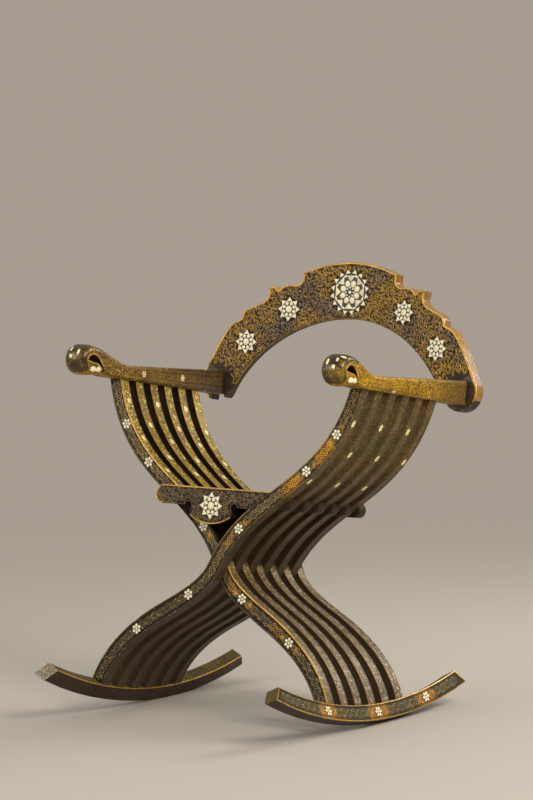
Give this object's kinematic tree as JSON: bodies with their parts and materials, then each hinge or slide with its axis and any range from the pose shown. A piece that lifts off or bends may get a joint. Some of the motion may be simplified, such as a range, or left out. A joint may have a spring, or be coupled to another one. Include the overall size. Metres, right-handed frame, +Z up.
{
  "type": "folding rocking chair",
  "caption": "Folding armchair on rockers with crossed curved staves, an interleaved slatted seat, scrolled arms and an arched back board.",
  "frame": {"origin": "middle of the footprint's bounding box, on the floor", "axes": "+X to the viewer's right when the chair is seen from in front, +Y to the chair's back, +Z up"},
  "size_m": [0.707, 0.7542, 0.9198],
  "materials": {
    "stave_walnut": "carved, waxed, with small pale inlaid rosettes",
    "arm_walnut": "finely carved and gilded, waxed",
    "rocker_walnut": "carved, waxed",
    "seat_walnut": "waxed",
    "crest_walnut": "carved, waxed, with pale inlaid rosettes",
    "pin_wood": "turned, oiled"
  },
  "bodies": {
    "right_frame": {"arm_right": "arm_walnut", "crest_pivot_pin": "pin_wood", "main_pivot_rod": "pin_wood", "rocker_left": "rocker_walnut", "seat_rod_right": "pin_wood", "stave_right_1": "stave_walnut", "stave_right_2": "stave_walnut", "stave_right_3": "stave_walnut", "stave_right_4": "stave_walnut", "stave_right_5": "stave_walnut", "stave_right_6": "stave_walnut"},
    "left_frame": {"arm_left": "arm_walnut", "crest_hook_pin": "pin_wood", "rocker_right": "rocker_walnut", "seat_rod_left": "pin_wood", "stave_left_1": "stave_walnut", "stave_left_2": "stave_walnut", "stave_left_3": "stave_walnut", "stave_left_4": "stave_walnut", "stave_left_5": "stave_walnut", "stave_left_6": "stave_walnut"},
    "right_slats": {"seat_slat_right_1": "seat_walnut", "seat_slat_right_2": "seat_walnut", "seat_slat_right_3": "seat_walnut", "seat_slat_right_4": "seat_walnut", "seat_slat_right_5": "seat_walnut", "seat_slat_right_6": "seat_walnut"},
    "left_slats": {"front_apron": "seat_walnut", "seat_slat_left_2": "seat_walnut", "seat_slat_left_3": "seat_walnut", "seat_slat_left_4": "seat_walnut", "seat_slat_left_5": "seat_walnut", "seat_slat_left_6": "seat_walnut"},
    "crest": {"crest_board": "crest_walnut"}
  },
  "joints": [
    {"name": "fold", "type": "hinge", "parent": "right_frame", "child": "left_frame", "pos_m": [0, -0.16284, 0.323], "axis": [0, -0.9871, 0.1599], "range_deg": [-67, 0]},
    {"name": "left_slats_swing", "type": "hinge", "parent": "left_frame", "child": "left_slats", "pos_m": [-0.12563, -0.14061, 0.46022], "axis": [0, -0.9871, 0.1599], "range_deg": [0, 124]},
    {"name": "right_slats_swing", "type": "hinge", "parent": "right_frame", "child": "right_slats", "pos_m": [0.12563, -0.14061, 0.46022], "axis": [0, -0.9871, 0.1599], "range_deg": [-124, 0]},
    {"name": "crest_swing", "type": "hinge", "parent": "right_frame", "child": "crest", "pos_m": [0.3125, -0.09872, 0.71885], "axis": [0, -0.9871, 0.1599], "range_deg": [-167.5, 0]}
  ],
  "couplings": [
    {"joint": "left_slats_swing", "follows": "fold", "ratio": -1.85},
    {"joint": "right_slats_swing", "follows": "fold", "ratio": 1.85},
    {"joint": "crest_swing", "follows": "fold", "ratio": 2.5}
  ]
}
